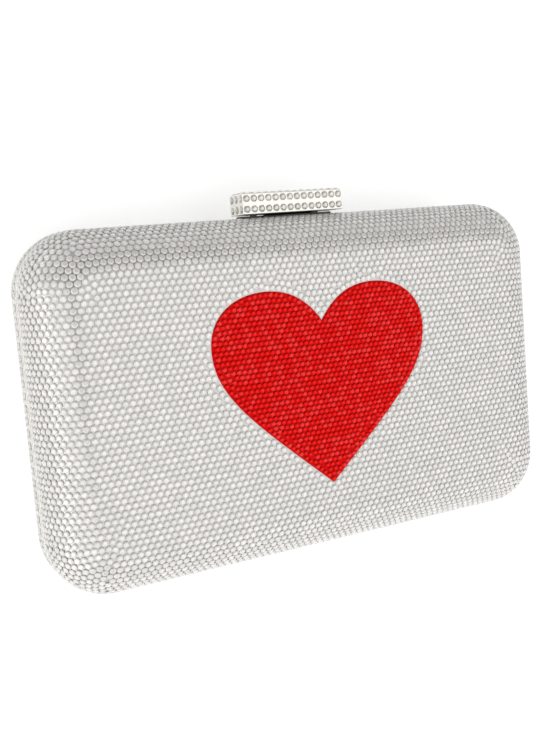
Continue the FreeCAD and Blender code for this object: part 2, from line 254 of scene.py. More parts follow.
def mapped(tree, value, start=(0.0, 1.0), end=(0.0, 1.0)):
    """Value taken from one range to another."""
    inputs = {"Value": value, "From Min": start[0], "From Max": start[1], "To Min": end[0], "To Max": end[1]}
    return add_node(tree, "ShaderNodeMapRange", inputs).outputs["Result"]


def mixed(tree, factor, first, second, blend="MIX"):
    """Mix of two colours."""
    inputs = {"Factor": factor, "A": first, "B": second}
    return add_node(tree, "ShaderNodeMix", inputs, data_type="RGBA", blend_type=blend).outputs["Result"]


def object_place(tree):
    return add_node(tree, "ShaderNodeTexCoord").outputs["Object"]


def mottle(tree, place, scale, detail):
    inputs = {"Vector": place, "Scale": scale, "Detail": detail}
    return add_node(tree, "ShaderNodeTexNoise", inputs).outputs["Fac"]


def bumped(tree, height, strength, distance):
    """Normal of a surface with a fine relief."""
    inputs = {"Height": height, "Strength": strength, "Distance": distance}
    return add_node(tree, "ShaderNodeBump", inputs).outputs["Normal"]


# Materials


def new_material(name):
    material = bpy.data.materials.new(name)
    material.use_nodes = True
    tree = material.node_tree
    return material, tree, tree.nodes["Principled BSDF"]


def facet_light_group():
    """Foil-backed glass with painted light: crown facets painted lighter or darker at random as painted
    reflections, the table painted bright as a painted highlight; colour and gloss change from stone to stone
    and from facet to facet.
    """
    group, given, result = new_group(
        "ShaderNodeTree", "facet_light",
        {
            "Bright": "Color", "Painted Shade": "Color", "Painted Fire": "Float",
            "Crown Mirror": "Float", "Table Mirror": "Float", "Glint": "Float",
        },
        {"Color": "Color", "Roughness": "Float", "Mirror": "Float", "Glint": "Float"},
    )
    facet = add_node(group, "ShaderNodeAttribute", attribute_name="facet_tone").outputs["Fac"]
    stone = add_node(group, "ShaderNodeAttribute", attribute_name="stone_tone").outputs["Fac"]
    # Painted light: each facet's colour runs from the painted shade of the crown facets up to the painted
    # highlight of the table.
    painted_facet_colour = mixed(group, facet, given["Painted Shade"], given["Bright"])
    # Painted dispersion: a rainbow tint per facet, mixed into the colour, stands in for the light that cut
    # glass splits into colours.
    hue = add_node(
        group, "ShaderNodeCombineColor",
        {"Red": worked(group, "ADD", facet, stone), "Green": 0.35, "Blue": 1.0},
        mode="HSV",
    )
    painted_fire = mixed(group, given["Painted Fire"], painted_facet_colour, hue.outputs["Color"], "MULTIPLY")
    mirrors = (given["Crown Mirror"], given["Table Mirror"])
    feed(group, result, {
        "Color": mixed(group, 1.0, painted_fire, mapped(group, stone, end=(0.9, 1.0)), "MULTIPLY"),
        "Roughness": mapped(group, facet, end=(0.42, 0.24)),
        "Mirror": mapped(group, facet, start=(CROWN_PAINTED_LIGHT[1], TABLE_PAINTED_HIGHLIGHT[0]), end=mirrors),
        "Glint": mapped(group, stone, start=(0.5, 0.7), end=(0.0, given["Glint"])),
    })
    return group


def metal_wear_group():
    """Fine hairlines along X and soft smudges, for plated and drawn metal."""
    group, given, result = new_group(
        "ShaderNodeTree", "metal_wear",
        {"Hairline Scale": "Float", "Smooth": "Float", "Worn": "Float", "Color": "Color"},
        {"Color": "Color", "Roughness": "Float", "Height": "Float"},
    )
    place = object_place(group)
    stretch = add_node(group, "ShaderNodeMapping", {"Vector": place, "Scale": (0.04, 1.0, 1.0)})
    smudge = mottle(group, place, scale=160.0, detail=5.0)
    dull = mapped(group, smudge, end=(1.0, 0.94))
    feed(group, result, {
        "Color": mixed(group, 1.0, given["Color"], dull, "MULTIPLY"),
        "Roughness": mapped(group, smudge, start=(0.35, 0.75), end=(given["Smooth"], given["Worn"])),
        "Height": mottle(group, stretch.outputs["Vector"], given["Hairline Scale"], detail=3.0),
    })
    return group


def weave_group():
    """Close satin weave: long floats one way, fine cross threads the other, and a little slub; its colour is
    painted darker, as painted shade, where the threads lie low.
    """
    group, given, result = new_group(
        "ShaderNodeTree", "satin_weave",
        {"Color": "Color", "Shade": "Color", "Threads": "Float"},
        {"Color": "Color", "Roughness": "Float", "Height": "Float"},
    )
    place = object_place(group)
    floats = add_node(
        group, "ShaderNodeTexWave",
        {"Vector": place, "Scale": given["Threads"], "Distortion": 1.2, "Detail": 2.0},
        bands_direction="Y",
    )
    cross = add_node(
        group, "ShaderNodeTexWave",
        {"Vector": place, "Scale": worked(group, "MULTIPLY", given["Threads"], 0.45), "Distortion": 0.8},
        bands_direction="X",
    )
    slub = mottle(group, place, scale=220.0, detail=4.0)
    threads = worked(group, "MULTIPLY_ADD", cross.outputs["Fac"], 0.35, floats.outputs["Fac"])
    height = worked(group, "MULTIPLY_ADD", slub, 0.5, threads)
    # Painted shade: where the thread relief is low the colour goes over to the shade colour.
    shade = mapped(group, height, start=(0.0, 1.6))
    feed(group, result, {
        "Color": mixed(group, shade, given["Shade"], given["Color"]),
        "Roughness": mapped(group, slub, end=(0.42, 0.24)),
        "Height": height,
    })
    return group


FACET_LIGHT = facet_light_group()
METAL_WEAR = metal_wear_group()
SATIN_WEAVE = weave_group()


def stone_material(name, painted_highlight, painted_shade, painted_fire, crown_mirror, table_mirror, glint):
    # The first colour is the painted highlight of the tables, the second the painted shade of the crown
    # facets.
    material, tree, shader = new_material(name)
    inputs = {
        "Bright": (*painted_highlight, 1), "Painted Shade": (*painted_shade, 1), "Painted Fire": painted_fire,
        "Crown Mirror": crown_mirror, "Table Mirror": table_mirror, "Glint": glint,
    }
    light = add_node(tree, "ShaderNodeGroup", inputs, node_tree=FACET_LIGHT).outputs
    feed(tree, shader, {
        "Base Color": light["Color"],
        "Roughness": light["Roughness"],
        "Metallic": light["Mirror"],
        "Coat Weight": light["Glint"],
        "IOR": 1.54,
        "Coat Roughness": 0.03,
        "Coat IOR": 1.54,
    })
    return material


def grained_material(name, colour, dark, metallic):
    """Setting bed between the stones, or moulded shell: a fine grain with darker specks."""
    material, tree, shader = new_material(name)
    grain = mottle(tree, object_place(tree), scale=900.0, detail=4.0)
    feed(tree, shader, {
        "Base Color": mixed(tree, grain, (*dark, 1), (*colour, 1)),
        "Normal": bumped(tree, grain, strength=0.3, distance=0.1 * MM),
        "Roughness": 0.34,
        "Metallic": metallic,
    })
    return material


def metal_material(name, colour, smooth, worn):
    material, tree, shader = new_material(name)
    inputs = {"Hairline Scale": 2400.0, "Smooth": smooth, "Worn": worn, "Color": (*colour, 1)}
    wear = add_node(tree, "ShaderNodeGroup", inputs, node_tree=METAL_WEAR).outputs
    feed(tree, shader, {
        "Base Color": wear["Color"],
        "Roughness": wear["Roughness"],
        "Normal": bumped(tree, wear["Height"], strength=0.12, distance=0.05 * MM),
        "Metallic": 1.0,
    })
    return material


def satin_material(name, colour, shade, threads):
    material, tree, shader = new_material(name)
    inputs = {"Color": (*colour, 1), "Shade": (*shade, 1), "Threads": threads}
    weave = add_node(tree, "ShaderNodeGroup", inputs, node_tree=SATIN_WEAVE).outputs
    feed(tree, shader, {
        "Base Color": weave["Color"],
        "Roughness": weave["Roughness"],
        "Normal": bumped(tree, weave["Height"], strength=0.25, distance=0.08 * MM),
        "Sheen Weight": 0.25,
        "Sheen Roughness": 0.4,
    })
    return material


# Stone colours: the first is a painted highlight laid on the tables, the second painted shade on the crown
# facets.
CLEAR_STONE = stone_material(
    "clear_stone", painted_highlight=(0.97, 0.96, 0.92), painted_shade=(0.84, 0.83, 0.8),
    painted_fire=0.05, crown_mirror=0.1, table_mirror=0.3, glint=0.6,
)
CLASP_STONE = stone_material(
    "clasp_stone", painted_highlight=(0.88, 0.87, 0.82), painted_shade=(0.55, 0.54, 0.5),
    painted_fire=0.05, crown_mirror=0.4, table_mirror=0.5, glint=0.9,
)
RED_STONE = stone_material(
    "red_stone", painted_highlight=(0.82, 0.016, 0.014), painted_shade=(0.66, 0.006, 0.006),
    painted_fire=0.0, crown_mirror=1.0, table_mirror=1.0, glint=0.4,
)
SILVER_BED = grained_material("silver_bed", (0.68, 0.675, 0.65), (0.48, 0.475, 0.45), metallic=0.9)
RED_BED = grained_material("red_bed", (0.6, 0.006, 0.006), (0.45, 0.004, 0.004), metallic=1.0)
SHELL_PLASTIC = grained_material("moulded_shell", (0.72, 0.72, 0.73), (0.6, 0.6, 0.61), metallic=0.4)
SILVER_METAL = metal_material("silver_plate", (0.83, 0.81, 0.755), smooth=0.14, worn=0.24)
# Painted shadow: the clasp base and the catch spring are near black so that the gap under the clasp bar reads
# as shadow.
PAINTED_SHADOW_STEEL = metal_material("painted_shadow_bracket", (0.1, 0.1, 0.1), smooth=0.3, worn=0.5)
SPRING_STEEL = metal_material("spring_steel", (0.55, 0.55, 0.56), smooth=0.22, worn=0.42)
# The second colour of each satin is the painted shade between its threads.
LINING_SATIN = satin_material("lining_satin", (0.62, 0.62, 0.65), (0.4, 0.4, 0.43), threads=900.0)
LINING_THREAD = satin_material("lining_thread", (0.86, 0.86, 0.87), (0.66, 0.66, 0.68), threads=2600.0)


# Surface of the body


def turned(half, point):
    return Vector((point[0], point[1], DEPTH - point[2])) if half == "front" else Vector(point)


def turned_normal(half, normal):
    return Vector((normal[0], normal[1], -normal[2])) if half == "front" else Vector(normal)


def surface(half, inset, place_x, place_y):
    """Point and outward normal of a half's skin, at a place of the skin laid out flat."""
    away_x, away_y = abs(place_x) - CORNER_X, abs(place_y) - CORNER_Y
    side_x, side_y = math.copysign(1, place_x), math.copysign(1, place_y)
    if away_x > 0 and away_y > 0:
        run = math.hypot(away_x, away_y)
        lean = (side_x * away_x / run, side_y * away_y / run)
        base = (side_x * CORNER_X, side_y * CORNER_Y)
    elif away_x > 0:
        run, lean, base = away_x, (side_x, 0), (side_x * CORNER_X, place_y)
    elif away_y > 0:
        run, lean, base = away_y, (0, side_y), (place_x, side_y * CORNER_Y)
    else:
        run, lean, base = 0, (0, 0), (place_x, place_y)
    radius = EDGE_R - inset
    bend = min(max((run - FLAT_R) / radius, 0), math.pi / 2)
    out = min(run, FLAT_R) + radius * math.sin(bend)
    rise = radius * (1 - math.cos(bend)) + max(run - FLAT_R - radius * math.pi / 2, 0)
    point = Vector((base[0] + lean[0] * out, base[1] + lean[1] * out, inset + rise))
    normal = Vector((lean[0] * math.sin(bend), lean[1] * math.sin(bend), -math.cos(bend)))
    return turned(half, point), turned_normal(half, normal)


def skin_place(half, inset, point):
    """Place, on the skin laid out flat, nearest to a point: the way back from surface()."""
    x, y, z = turned(half, point)
    away_x, away_y = max(abs(x) - CORNER_X, 0), max(abs(y) - CORNER_Y, 0)
    out = math.hypot(away_x, away_y)
    if out <= FLAT_R:
        return x, y
    radius, rise = EDGE_R - inset, z - inset
    if rise > radius:
        run = FLAT_R + radius * math.pi / 2 + rise - radius
    else:
        run = FLAT_R + radius * math.atan2(out - FLAT_R, radius - rise)
    place_x = min(abs(x), CORNER_X) + away_x * run / out
    place_y = min(abs(y), CORNER_Y) + away_y * run / out
    return math.copysign(place_x, x), math.copysign(place_y, y)


def skin_length(inset):
    """Length of the skin from a corner's centre out to the top of the wall."""
    radius = EDGE_R - inset
    return FLAT_R + radius * math.pi / 2 + WALL_TOP - EDGE_R


def loop_places(half_x, half_y, radius, corner_steps=10, side_steps=1):
    """Places round a rectangle with round corners, anticlockwise from the right-hand upper corner."""
    corners = []
    for turn, (side_x, side_y) in enumerate(((1, 1), (-1, 1), (-1, -1), (1, -1))):
        centre = (side_x * (half_x - radius), side_y * (half_y - radius))
        angles = [(turn + step / corner_steps) * math.pi / 2 for step in range(corner_steps + 1)]
        corners.append([(centre[0] + radius * math.cos(a), centre[1] + radius * math.sin(a)) for a in angles])
    places = []
    for corner, following in zip(corners, corners[1:] + corners[:1]):
        places += corner
        for step in range(1, side_steps):
            share = step / side_steps
            places.append(tuple(p + (q - p) * share for p, q in zip(corner[-1], following[0])))
    return places


def skin_runs(inset, count):
    """Even distances from the corners' centres, from the flat face to the top of the wall."""
    return [FLAT_R + (skin_length(inset) - FLAT_R) * step / count for step in range(count + 1)]


def stitched_rings(rings, close_ends=True):
    """Points and faces of a skin through closed rings of equal count, with both ends filled."""
    count = len(rings[0])
    points = [point for ring in rings for point in ring]
    faces = []
    for row in range(len(rings) - 1):
        for step in range(count):
            after = (step + 1) % count
            low, high = row * count, (row + 1) * count
            faces.append((low + step, low + after, high + after, high + step))
    if close_ends:
        faces.append(tuple(range(count)))
        faces.append(tuple(range(len(points) - count, len(points))))
    return points, faces


def setting_bed(half):
    """Thin pan just under the stones."""
    rings = []
    for inset, order in ((BED_INSET, 1), (COVER_T, -1)):
        for run in skin_runs(inset, BED_RING_COUNT)[::order]:
            places = loop_places(CORNER_X + run, CORNER_Y + run, run)
            rings.append([surface(half, inset, x, y)[0] for x, y in places])
    points, faces = stitched_rings(rings)
    return mesh_piece(half + "_setting_bed", points, faces, SILVER_BED)


# Heart


def heart_outline():
    """Outline of the heart, closed, from its notch round by the right-hand side."""
    low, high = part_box("heart_crystal_inlay")
    half_width, height = high.x, high.y - low.y
    right = []
    for curve in HEART_CURVE_SHARES:
        for step in range(HEART_STEPS):
            t = step / HEART_STEPS
            weights = ((1 - t) ** 3, 3 * t * (1 - t) ** 2, 3 * t * t * (1 - t), t ** 3)
            x = sum(w * pole[0] for w, pole in zip(weights, curve))
            y = sum(w * pole[1] for w, pole in zip(weights, curve))
            right.append((x * half_width, low.y + y * height))
    right.append((0.0, low.y))
    left = [(-x, y) for x, y in right[1:-1]]
    return np.array(right + left[::-1])


HEART = heart_outline()


def heart_edge(x, y):
    """Distance from the heart's edge, positive inside, and the direction that leads inwards."""
    run = np.roll(HEART, -1, 0) - HEART
    offset = np.array((x, y)) - HEART
    share = np.clip((offset * run).sum(1) / (run * run).sum(1), 0, 1)
    gaps = offset - share[:, None] * run
    gap = gaps[(gaps * gaps).sum(1).argmin()]
    distance = np.linalg.norm(gap)
    rising = offset[:, 1] > 0
    straddles = rising != np.roll(rising, -1)
    crossing = HEART[straddles, 0] + offset[straddles, 1] * run[straddles, 0] / run[straddles, 1]
    side = 1 if (x < crossing).sum() % 2 else -1
    return side * distance, side * gap / max(distance, HAIR)


def beside_heart(offset):
    """Places that follow the heart's edge at a distance, positive inside."""
    along = np.roll(HEART, -1, 0) - np.roll(HEART, 1, 0)
    inward = np.stack((along[:, 1], -along[:, 0]), 1) / np.linalg.norm(along, axis=1)[:, None]
    return HEART + inward * offset


def heart_plate():
    """Thin red plate on the bed, with a softly rounded edge."""
    level = DEPTH - BED_INSET
    rings = []
    for inset, rise in HEART_PLATE_RINGS:
        line = HEART * (1 - inset / HEART[:, 0].max())
        rings.append([(x, y, level + rise * HEART_PLATE_T) for x, y in line])
    points, faces = stitched_rings(rings)
    return mesh_piece("heart_plate", points, faces, RED_BED, smooth=False)


# Stones

LAST_ROW = skin_length(BED_INSET) - CLEAR_R
CLEAR_PITCH = (CORNER_X + LAST_ROW) / CLEAR_COLUMN_COUNT
CLEAR_ROW = (CORNER_Y + LAST_ROW) / CLEAR_ROW_COUNT
CORNER_FILL_BACK = 2 * CLEAR_PITCH
SPREAD_SHARE = CLEAR_PITCH / 2 / CLEAR_R
LOOSE_REACH = 4 * CLEAR_PITCH
HEART_REACH = np.abs(HEART).max() + LOOSE_REACH
CELL = 2 * CLEAR_R


def on_skin(x, y):
    """True where a stone is whole, short of the wall's top."""
    return math.hypot(max(abs(x) - CORNER_X, 0), max(abs(y) - CORNER_Y, 0)) < LAST_ROW + TINY


class Seat:
    """One stone's seat: its kind, its radius and its place on the skin laid out flat."""

    def __init__(self, half, kind, x, y):
        self.half, self.kind = half, kind
        self.radius = RED_R if kind == "red" else CLEAR_R
        self.edge_pull = Vector()
        self.put(x, y)

    def put(self, x, y):
        self.x, self.y = x, y
        self.point, self.normal = surface(self.half, BED_INSET, x, y)
        if self.kind == "red":
            self.point.z += HEART_PLATE_T

    def group(self):
        """Which of the half's pieces the stone belongs to."""
        if self.kind == "red":
            return "red"
        return "face" if abs(self.normal.z) > FACE_NORMAL_SHARE else "edge"

    def heart_room(self):
        """Distance that the stone's centre keeps from the heart's edge, positive inside."""
        room = HEART_EDGE_GAP + self.radius
        return room if self.kind == "red" else -room

    def far_from_heart(self, x, y):
        return self.half == "back" or max(abs(x), abs(y)) > HEART_REACH

    def clear_of_edge(self, x, y):
        """The place itself, or the nearest one at which the stone is clear of the heart's edge.

        A stone with a little spare room is pulled up to the edge in the next round.
        """
        self.edge_pull = Vector()
        if self.far_from_heart(x, y):
            return x, y
        distance, inward = heart_edge(x, y)
        short = self.heart_room() - distance
        if (short > 0) == (self.kind == "red"):
            return x + short * inward[0], y + short * inward[1]
        if abs(short) < PULL_REACH_SHARE * self.radius:
            self.edge_pull = Vector((*inward, 0)) * (short * PULL_SHARE)
        return x, y

    def is_loose(self):
        """Stones near a corner or near the heart's edge move a little, so that they lie evenly."""
        if min(abs(self.x) - CORNER_X, abs(self.y) - CORNER_Y) > -LOOSE_REACH:
            return True
        if self.far_from_heart(self.x, self.y):
            return False
        return abs(heart_edge(self.x, self.y)[0]) < LOOSE_REACH


class StoneBoard:
    """Seats laid so far on one half.

    They are kept in cells, so that a new one is tested against its neighbours alone.
    """

    def __init__(self, half):
        self.half = half
        self.cells = {}
        self.seats = []

    def sort(self):
        """Puts the seats into their cells again, after they have moved."""
        self.cells = {}
        for seat in self.seats:
            self.cells.setdefault(self.cell(seat.point), []).append(seat)

    def cell(self, point):
        return tuple(int(math.floor(value / CELL)) for value in point)

    def lay(self, kind, x, y):
        """Lays a stone where there is room.

        One that would overlap the heart's edge by less than its radius moves clear of it.
        """
        seat = Seat(self.half, kind, x, y)
        clear_x, clear_y = seat.clear_of_edge(x, y)
        if math.hypot(clear_x - x, clear_y - y) > seat.radius:
            return
        seat.put(clear_x, clear_y)
        cell_x, cell_y, cell_z = self.cell(seat.point)
        for step_x, step_y, step_z in NEAR_CELLS:
            for other in self.cells.get((cell_x + step_x, cell_y + step_y, cell_z + step_z), ()):
                gap = (other.point - seat.point).length
                if gap < (other.radius + seat.radius) * CROWDING_SHARE:
                    return
        if on_skin(seat.x, seat.y):
            self.cells.setdefault((cell_x, cell_y, cell_z), []).append(seat)
            self.seats.append(seat)

    def settle(self):
        """Pushes crowded stones apart along the skin until they lie evenly."""
        loose = [seat for seat in self.seats if seat.is_loose()]
        for _ in range(SETTLE_ROUNDS):
            tree = KDTree(len(self.seats))
            for index, seat in enumerate(self.seats):
                tree.insert(seat.point, index)
            tree.balance()
            pushes = []
            for seat in loose:
                push = seat.edge_pull.copy()
                for point, index, gap in tree.find_range(seat.point, CELL * SPREAD_SHARE):
                    want = (seat.radius + self.seats[index].radius) * SPREAD_SHARE
                    if 0 < gap < want:
                        push += (seat.point - point) * ((want - gap) / gap * PUSH_SHARE)
                pushes.append(push)
            for seat, push in zip(loose, pushes):
                if push.length > TINY:
                    place = seat.clear_of_edge(*skin_place(seat.half, BED_INSET, seat.point + push))
                    if on_skin(*place):
                        seat.put(*place)


def staggered_places(reach_x, reach_y, pitch, row):
    """Staggered rows over a rectangle."""
    rows = int(reach_y / row + ROW_SLACK_SHARE)
    columns = int(reach_x / pitch + 1)
    for step in range(-rows, rows + 1):
        for column in range(-columns, columns + 1):
            x = (column + 0.5 * (step % 2)) * pitch
            if abs(x) <= reach_x + TINY:
                yield x, step * row


def lay_heart(board):
    """Red stones in staggered rows inside the heart's edge."""
    reach = np.abs(HEART).max()
    for x, y in staggered_places(reach, reach, RED_PITCH, RED_ROW):
        board.lay("red", x, y)


def fill_heart_edge(board):
    """Stones in the spaces that the rows leave on both sides of the heart's edge."""
    for kind, side, radius in (("red", 1, RED_R), ("clear", -1, CLEAR_R)):
        for offset in EDGE_FILL_SHARES * side * radius:
            for x, y in beside_heart(offset):
                board.lay(kind, x, y)


def four_corners(x, y):
    for side_x, side_y in ((1, 1), (-1, 1), (-1, -1), (1, -1)):
        yield side_x * (CORNER_X + x), side_y * (CORNER_Y + y)


def lay_body(board):
    """Clear stones in staggered rows over the face and the edges; round the corners the rows are rings."""
    for x, y in staggered_places(CORNER_X + LAST_ROW, CORNER_Y + LAST_ROW, CLEAR_PITCH, CLEAR_ROW):
        if min(abs(x) - CORNER_X, abs(y) - CORNER_Y) < 0:
            board.lay("clear", x, y)
    radius = EDGE_R - BED_INSET
    for ring in range(CLEAR_ROW_COUNT + 1):
        run = ring * CLEAR_ROW - CORNER_Y
        if run > 0:
            bend = min(max((run - FLAT_R) / radius, 0), math.pi / 2)
            around = (min(run, FLAT_R) + radius * math.sin(bend)) * math.pi / 2
            count = max(int(round(around / CLEAR_PITCH)), 1)
            for step in range(count):
                angle = (step + 0.5) / count * math.pi / 2
                for x, y in four_corners(run * math.cos(angle), run * math.sin(angle)):
                    board.lay("clear", x, y)


def fill_corners(board):
    """Stones in the spaces that the rows and the rings leave at the corners."""
    fine = CLEAR_R / CORNER_FILL_DIVISOR
    for x, y in staggered_places(LAST_ROW, LAST_ROW, fine, fine):
        if min(x, y) > -CORNER_FILL_BACK:
            for corner_x, corner_y in four_corners(x, y):
                board.lay("clear", corner_x, corner_y)


def cut_stone():
    """One stone of unit radius and height: girdle, two rows of crown facets and a table."""
    points = []
    for radius, height, shift in STONE_RING_SHARES:
        for side in range(STONE_SIDES):
            angle = (side + shift) * 2 * math.pi / STONE_SIDES
            points.append((radius * math.cos(angle), radius * math.sin(angle), height))
    faces = []
    count = STONE_SIDES
    for side in range(count):
        after, before = (side + 1) % count, (side - 1) % count
        faces.append((side, after, count + after, count + side))
        faces.append((count + side, count + after, 2 * count + side))
        faces.append((count + side, 2 * count + side, 2 * count + before))
        faces.append((2 * count + side, 3 * count + after, 3 * count + side))
        faces.append((2 * count + before, 2 * count + side, 3 * count + side))
    faces.append(tuple(range(3 * count, 4 * count)))
    mesh = bpy.data.meshes.new("cut_stone")
    mesh.from_pydata(points, [], faces)
    table = mesh.attributes.new("table", "FLOAT", "FACE")
    table.data.foreach_set("value", [0.0] * (len(faces) - 1) + [1.0])
    return plain_object("cut_stone", mesh)


# Trees that set what repeats


def named_value(tree, name, kind="FLOAT"):
    node = add_node(tree, "GeometryNodeInputNamedAttribute", {"Name": name}, data_type=kind)
    return node.outputs["Attribute"]


def stored(tree, geometry, name, value, domain):
    """Geometry that carries a value under a name."""
    inputs = {"Geometry": geometry, "Name": name, "Value": value}
    node = add_node(tree, "GeometryNodeStoreNamedAttribute", inputs, data_type="FLOAT", domain=domain)
    return node.outputs["Geometry"]


def instanced(tree, points, shape, rotation, size):
    """The shape on each point, turned and sized."""
    scale = add_node(tree, "ShaderNodeCombineXYZ", dict(zip("XYZ", size))).outputs[0]
    inputs = {"Points": points, "Instance": shape, "Rotation": rotation, "Scale": scale}
    return add_node(tree, "GeometryNodeInstanceOnPoints", inputs).outputs["Instances"]


def realized(tree, instances):
    return add_node(tree, "GeometryNodeRealizeInstances", {"Geometry": instances}).outputs["Geometry"]


def with_material(tree, geometry, material):
    inputs = {"Geometry": geometry, "Material": material}
    return add_node(tree, "GeometryNodeSetMaterial", inputs).outputs["Geometry"]


def stone_setting_tree():
    """Sets a stone on each point, turned to its normal, with a small seeded tilt, a random tone of its own
    and painted light on its facets.
    """
    tree, given, result = new_group(
        "GeometryNodeTree", "stone_setting",
        {
            "Seats": "Geometry", "Stone": "Object", "Height": "Float",
            "Tilt": "Float", "Seed": "Int", "Material": "Material",
        },
        {"Stones": "Geometry"},
    )
    facing = named_value(tree, "facing", "FLOAT_VECTOR")
    align = add_node(tree, "FunctionNodeAlignRotationToVector", {"Vector": facing}, axis="Z")
    tilt, seed = given["Tilt"], given["Seed"]
    tilt_back = worked(tree, "MULTIPLY", tilt, -1.0)
    least = add_node(tree, "ShaderNodeCombineXYZ", {"X": tilt_back, "Y": tilt_back})
    most = add_node(tree, "ShaderNodeCombineXYZ", {"X": tilt, "Y": tilt, "Z": 2 * math.pi})
    wobble = add_node(
        tree, "FunctionNodeRandomValue",
        {"Min": least.outputs[0], "Max": most.outputs[0], "Seed": seed},
        data_type="FLOAT_VECTOR",
    )
    euler = add_node(tree, "FunctionNodeEulerToRotation", {"Euler": wobble.outputs["Value"]})
    turn = add_node(
        tree, "FunctionNodeRotateRotation",
        {"Rotation": align.outputs["Rotation"], "Rotate By": euler.outputs["Rotation"]},
        rotation_space="LOCAL",
    )
    radius = named_value(tree, "radius")
    stone = add_node(tree, "GeometryNodeObjectInfo", {"Object": given["Stone"]}).outputs["Geometry"]
    size = (radius, radius, given["Height"])
    stones = instanced(tree, given["Seats"], stone, turn.outputs["Rotation"], size)
    stone_tone = add_node(tree, "FunctionNodeRandomValue", {"Seed": seed}, data_type="FLOAT")
    stones = realized(tree, stored(tree, stones, "stone_tone", stone_tone.outputs[1], "INSTANCE"))
    # Painted light per facet: a high tone on the table as a painted highlight, random tones on the crown
    # facets as painted reflections.
    table = named_value(tree, "table")
    facet_tone = add_node(tree, "FunctionNodeRandomValue", {"Seed": seed}, data_type="FLOAT")
    for socket, crown, top in zip((2, 3), CROWN_PAINTED_LIGHT, TABLE_PAINTED_HIGHLIGHT):
        feed(tree, facet_tone, {socket: worked(tree, "MULTIPLY_ADD", table, top - crown, crown)})
    stones = stored(tree, stones, "facet_tone", facet_tone.outputs[1], "FACE")
    feed(tree, result, {"Stones": with_material(tree, stones, given["Material"])})
    return tree


def stitch_run_tree():
    """Lays stitches end to end along a path."""
    tree, given, result = new_group(
        "GeometryNodeTree", "stitch_run",
        {
            "Path": "Geometry", "Pitch": "Float", "Length": "Float",
            "Thickness": "Float", "Material": "Material",
        },
        {"Stitches": "Geometry"},
    )
    curve = add_node(tree, "GeometryNodeMeshToCurve", {"Mesh": given["Path"]}).outputs["Curve"]
    inputs = {"Curve": curve, "Length": given["Pitch"]}
    steps = add_node(tree, "GeometryNodeResampleCurve", inputs, mode="LENGTH").outputs["Curve"]
    tangent = add_node(tree, "GeometryNodeInputTangent").outputs["Tangent"]
    align = add_node(tree, "FunctionNodeAlignRotationToVector", {"Vector": tangent}, axis="X")
    stitch = add_node(tree, "GeometryNodeMeshUVSphere", {"Segments": 6, "Rings": 5, "Radius": 0.5})
    size = (given["Length"], given["Thickness"], given["Thickness"])
    stitches = instanced(tree, steps, stitch.outputs["Mesh"], align.outputs["Rotation"], size)
    smooth = add_node(tree, "GeometryNodeSetShadeSmooth", {"Geometry": realized(tree, stitches)})
    finished = with_material(tree, smooth.outputs["Geometry"], given["Material"])
    feed(tree, result, {"Stitches": finished})
    return tree


def grown(name, base, tree, **values):
    """Runs a tree on a base mesh and keeps the result as a plain mesh."""
    holder = plain_object(name + "_base", base)
    modifier = holder.modifiers.new("grow", "NODES")
    modifier.node_group = tree
    ids = {item.name: item.identifier for item in tree.interface.items_tree if item.in_out == "INPUT"}
    for key, value in values.items():
        modifier[ids[key]] = value
    graph = bpy.context.evaluated_depsgraph_get()
    made = holder.evaluated_get(graph)
    mesh = bpy.data.meshes.new_from_object(made, preserve_all_data_layers=True, depsgraph=graph)
    holder.modifiers.remove(modifier)
    bpy.data.objects.remove(holder)
    mesh.name = name
    return plain_object(name, mesh)


STONE = cut_stone()
STONE_TREE = stone_setting_tree()
STITCH_TREE = stitch_run_tree()


# Covers of the two halves and of the clasp


def set_stones(name, seats, height, material, seed):
    base = bpy.data.meshes.new(name + "_seats")
    base.from_pydata([point for point, normal, radius in seats], [], [])
    facing = base.attributes.new("facing", "FLOAT_VECTOR", "POINT")
    facing.data.foreach_set("vector", [value for seat in seats for value in seat[1]])
    radius = base.attributes.new("radius", "FLOAT", "POINT")
    radius.data.foreach_set("value", [seat[2] for seat in seats])
    return grown(
        name, base, STONE_TREE, Stone=STONE, Height=height, Tilt=STONE_TILT, Seed=seed, Material=material
    )


def laid_seats(half):
    """Seats of one half, by piece; the heart comes first, because the clear stones go round it."""
    board = StoneBoard(half)
    if half == "front":
        lay_heart(board)
    lay_body(board)
    for _ in range(FILL_ROUNDS):
        fill_corners(board)
        if half == "front":
            fill_heart_edge(board)
        board.settle()
        board.sort()
    groups = {"face": [], "edge": [], "red": []}
    for seat in board.seats:
        groups[seat.group()].append((seat.point, seat.normal, seat.radius))
    return groups


def cover_half(half, seed):
    """Bed and stones of one half, and the front's heart."""
    groups = laid_seats(half)
    height = BED_INSET - STONE_CLEARANCE
    pieces = [setting_bed(half)]
    for step, kind in enumerate(("face", "edge")):
        name = half + "_" + kind + "_stones"
        pieces.append(set_stones(name, groups[kind], height, CLEAR_STONE, seed + step))
    for piece in pieces:
        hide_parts(half + "_crystal_cover")
        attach(piece, half + "_half")
    if groups["red"]:
        red_height = height - HEART_PLATE_T
        red_stones = set_stones("heart_stones", groups["red"], red_height, RED_STONE, seed)
        for piece in (heart_plate(), red_stones):
            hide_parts("heart_crystal_inlay")
            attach(piece, half + "_half")


def shared_out(count, low, high):
    """Centres of a row that shares out a length evenly."""
    return [low + (place + 0.5) * (high - low) / count for place in range(count)]


